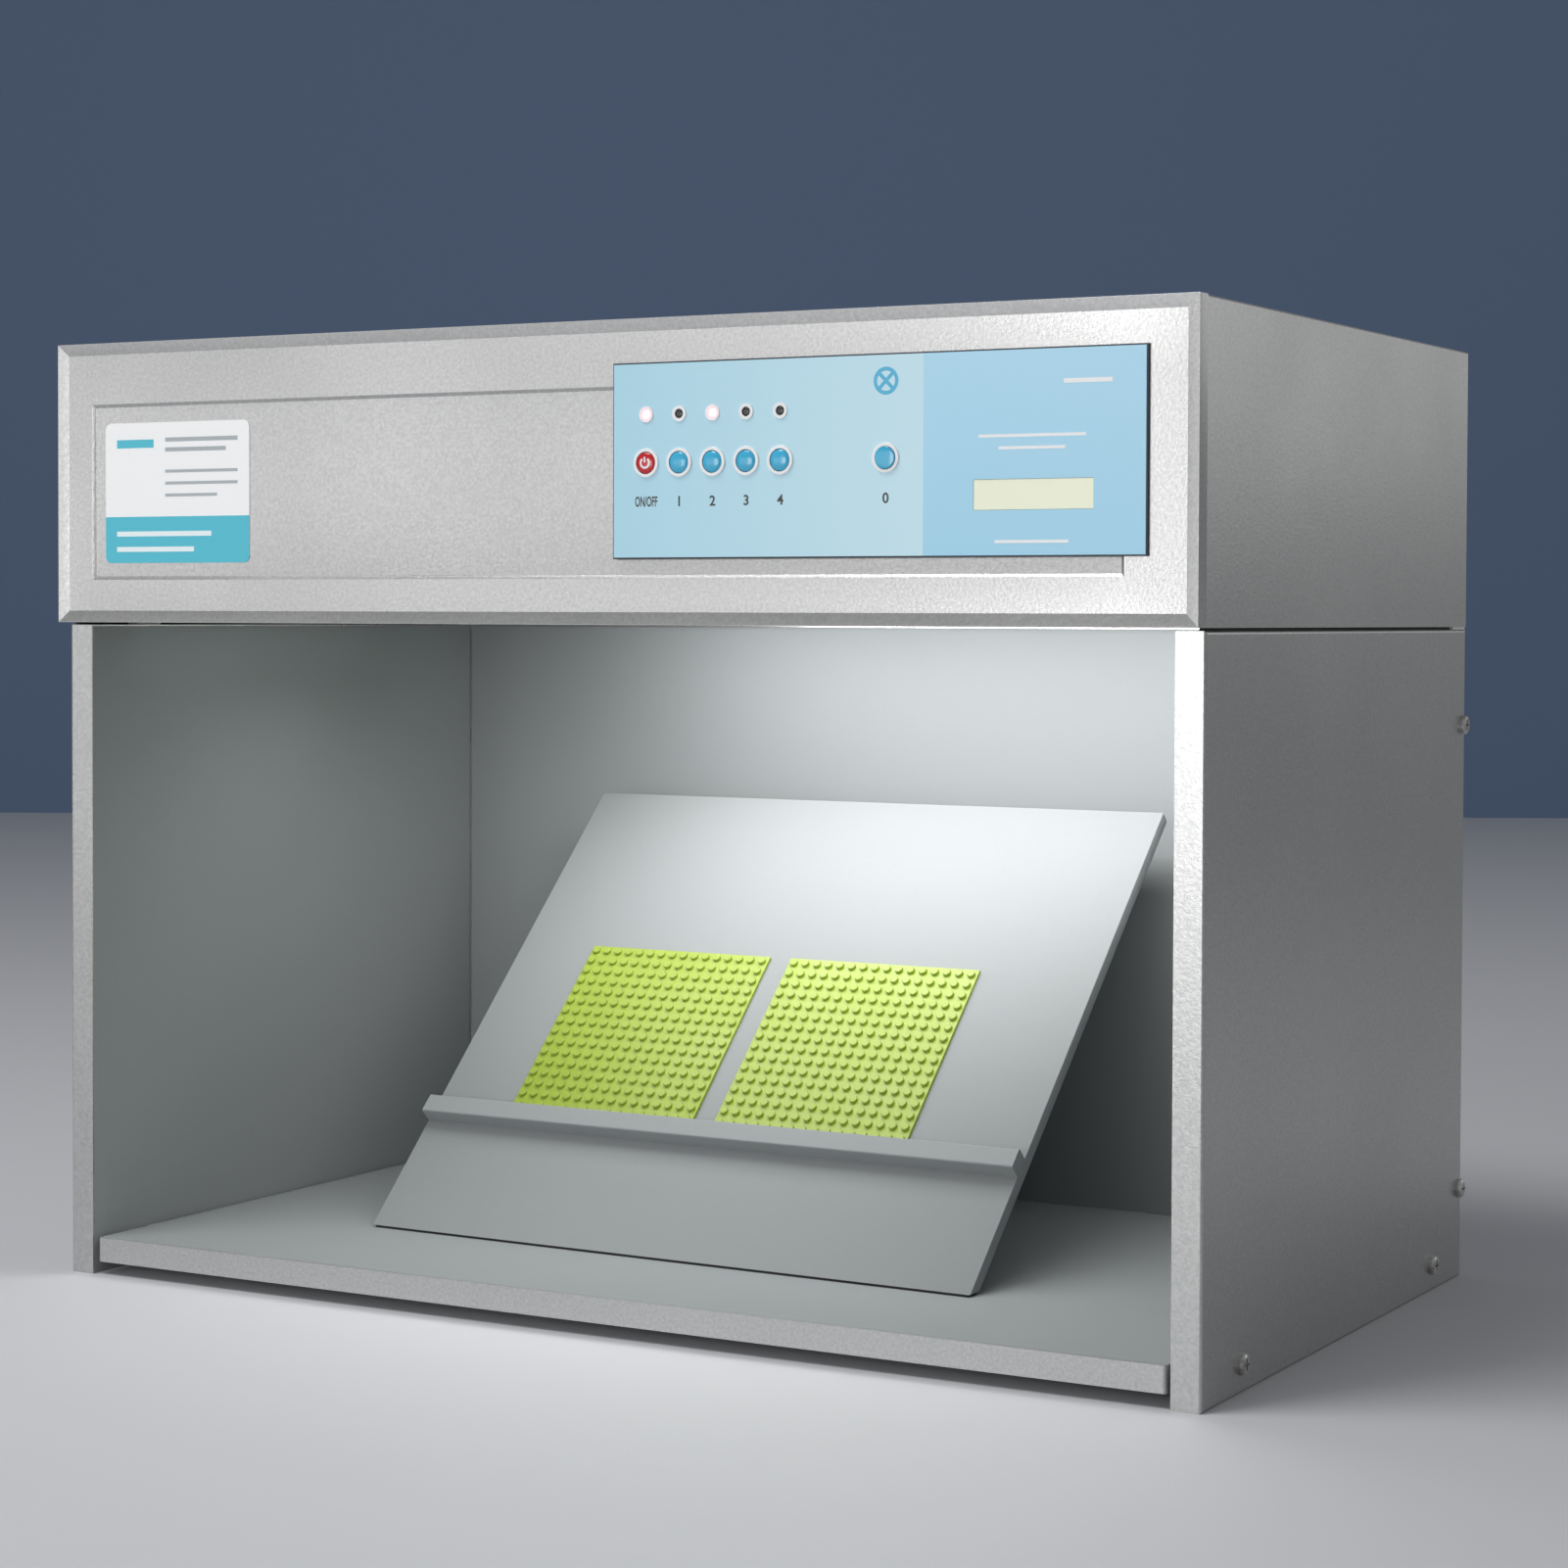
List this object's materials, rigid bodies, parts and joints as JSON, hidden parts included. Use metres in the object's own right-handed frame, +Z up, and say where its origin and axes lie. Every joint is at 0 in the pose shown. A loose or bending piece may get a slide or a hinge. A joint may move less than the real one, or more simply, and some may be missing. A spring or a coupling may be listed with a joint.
{
  "type": "colour assessment light cabinet",
  "caption": "Open-fronted viewing booth under a lamp house with a blue control panel of push keys, holding a sloping stand with a ledge and removable studded sample plates.",
  "frame": {"origin": "on the standing surface, under the middle of the cabinet's box", "axes": "+Z up, the open front faces -Y, +X to the right of someone facing the front"},
  "size_m": [0.7164, 0.4118, 0.54],
  "materials": {
    "silver_coat": "fine-textured silver powder coat",
    "booth_grey": "matte neutral grey paint",
    "zinc_steel": "zinc-plated",
    "screw_steel": "nickel-plated",
    "white_nylon": "moulded",
    "white_enamel": "gloss white reflector enamel",
    "black_moulding": "moulded",
    "plated_brass": "plated",
    "daylight_glass": "phosphor-coated, lit",
    "store_glass": "phosphor-coated",
    "violet_glass": "dark filter glass",
    "bulb_glass": "frosted",
    "cap_aluminium": "drawn",
    "white_moulding": "moulded",
    "socket_ceramic": "unglazed",
    "plate_edge": "dark anodised edge",
    "blue_film": "printed polycarbonate film",
    "blue_key": "moulded, domed",
    "red_key": "moulded, domed",
    "white_ring": "moulded",
    "lit_lens": "lit diffusing lens",
    "dark_lens": "unlit lens",
    "display_cell": "reflective display cell",
    "board_green": "solder mask",
    "card_white": "coated card",
    "stand_paint": "fibreboard in matte neutral grey paint",
    "hinge_steel": "plated",
    "black_rubber": "matte",
    "lime_plastic": "moulded"
  },
  "bodies": {
    "cabinet": {"right_side_panel": "silver_coat", "left_side_panel": "silver_coat", "right_side_liner": "booth_grey", "left_side_liner": "booth_grey", "back_panel": "silver_coat", "back_liner": "booth_grey", "base_panel": "silver_coat", "base_deck": "booth_grey", "panel_ribs": "zinc_steel", "panel_screws": "screw_steel", "panel_sleeves": "zinc_steel", "panel_nuts": "zinc_steel", "base_washers": "white_nylon", "lamp_house_spacers": "white_nylon", "seam_gasket": "black_rubber", "lamp_house_cover": "silver_coat", "lamp_frame": "booth_grey", "reflector": "white_enamel", "rear_panel": "silver_coat", "rear_screws": "screw_steel", "mains_inlet": "black_moulding", "inlet_blades": "plated_brass", "daylight_tubes": "daylight_glass", "store_light_tubes": "store_glass", "ultraviolet_tube": "violet_glass", "tube_caps": "cap_aluminium", "tube_holders": "white_moulding", "bulb_sockets": "socket_ceramic", "bulb_caps": "plated_brass", "filament_bulbs": "bulb_glass", "ballasts": "zinc_steel", "front_fascia": "silver_coat", "label_card": "card_white", "control_plate": "plate_edge", "control_overlay": "blue_film", "key_rings": "white_ring", "key_switches": "black_moulding", "lit_indicators": "lit_lens", "dark_indicators": "dark_lens", "indicator_rings": "white_ring", "display_glass": "display_cell", "display_module": "black_moulding", "control_board": "board_green", "board_standoffs": "white_nylon"},
    "power_key": {"power_key": "red_key"},
    "lamp_key_1": {"lamp_key_1": "blue_key"},
    "lamp_key_2": {"lamp_key_2": "blue_key"},
    "lamp_key_3": {"lamp_key_3": "blue_key"},
    "lamp_key_4": {"lamp_key_4": "blue_key"},
    "clear_key": {"clear_key": "blue_key"},
    "stand": {"stand_board": "stand_paint", "stand_foot_strip": "black_rubber", "stand_ledge": "stand_paint", "stand_hinge_leaves": "hinge_steel", "stand_hinge_pins": "hinge_steel"},
    "prop": {"stand_prop": "stand_paint", "prop_foot": "black_rubber"},
    "left_plate": {"left_sample_plate": "lime_plastic"},
    "right_plate": {"right_sample_plate": "lime_plastic"}
  },
  "joints": [
    {"name": "power_key_press", "type": "slide", "parent": "cabinet", "child": "power_key", "axis": [0, 1, 0], "range_m": [0, 0.001], "stiffness_N_per_m": 1500, "springref_m": -0.0003},
    {"name": "lamp_key_1_press", "type": "slide", "parent": "cabinet", "child": "lamp_key_1", "axis": [0, 1, 0], "range_m": [0, 0.001], "stiffness_N_per_m": 1500, "springref_m": -0.0003},
    {"name": "lamp_key_2_press", "type": "slide", "parent": "cabinet", "child": "lamp_key_2", "axis": [0, 1, 0], "range_m": [0, 0.001], "stiffness_N_per_m": 1500, "springref_m": -0.0003},
    {"name": "lamp_key_3_press", "type": "slide", "parent": "cabinet", "child": "lamp_key_3", "axis": [0, 1, 0], "range_m": [0, 0.001], "stiffness_N_per_m": 1500, "springref_m": -0.0003},
    {"name": "lamp_key_4_press", "type": "slide", "parent": "cabinet", "child": "lamp_key_4", "axis": [0, 1, 0], "range_m": [0, 0.001], "stiffness_N_per_m": 1500, "springref_m": -0.0003},
    {"name": "clear_key_press", "type": "slide", "parent": "cabinet", "child": "clear_key", "axis": [0, 1, 0], "range_m": [0, 0.001], "stiffness_N_per_m": 1500, "springref_m": -0.0003},
    {"name": "stand_pull", "type": "slide", "parent": "cabinet", "child": "stand", "axis": [0, -1, 0], "range_m": [0, 0.38]},
    {"name": "prop_fold", "type": "hinge", "parent": "stand", "child": "prop", "pos_m": [-0.01267, 0.14422, 0.23766], "axis": [-0.9997, 0.0227, 0], "range_deg": [0, 45]},
    {"name": "left_plate_lift", "type": "slide", "parent": "stand", "child": "left_plate", "axis": [0.016, 0.7069, 0.7071], "range_m": [0, 0.12]},
    {"name": "right_plate_lift", "type": "slide", "parent": "stand", "child": "right_plate", "axis": [0.016, 0.7069, 0.7071], "range_m": [0, 0.12]}
  ]
}
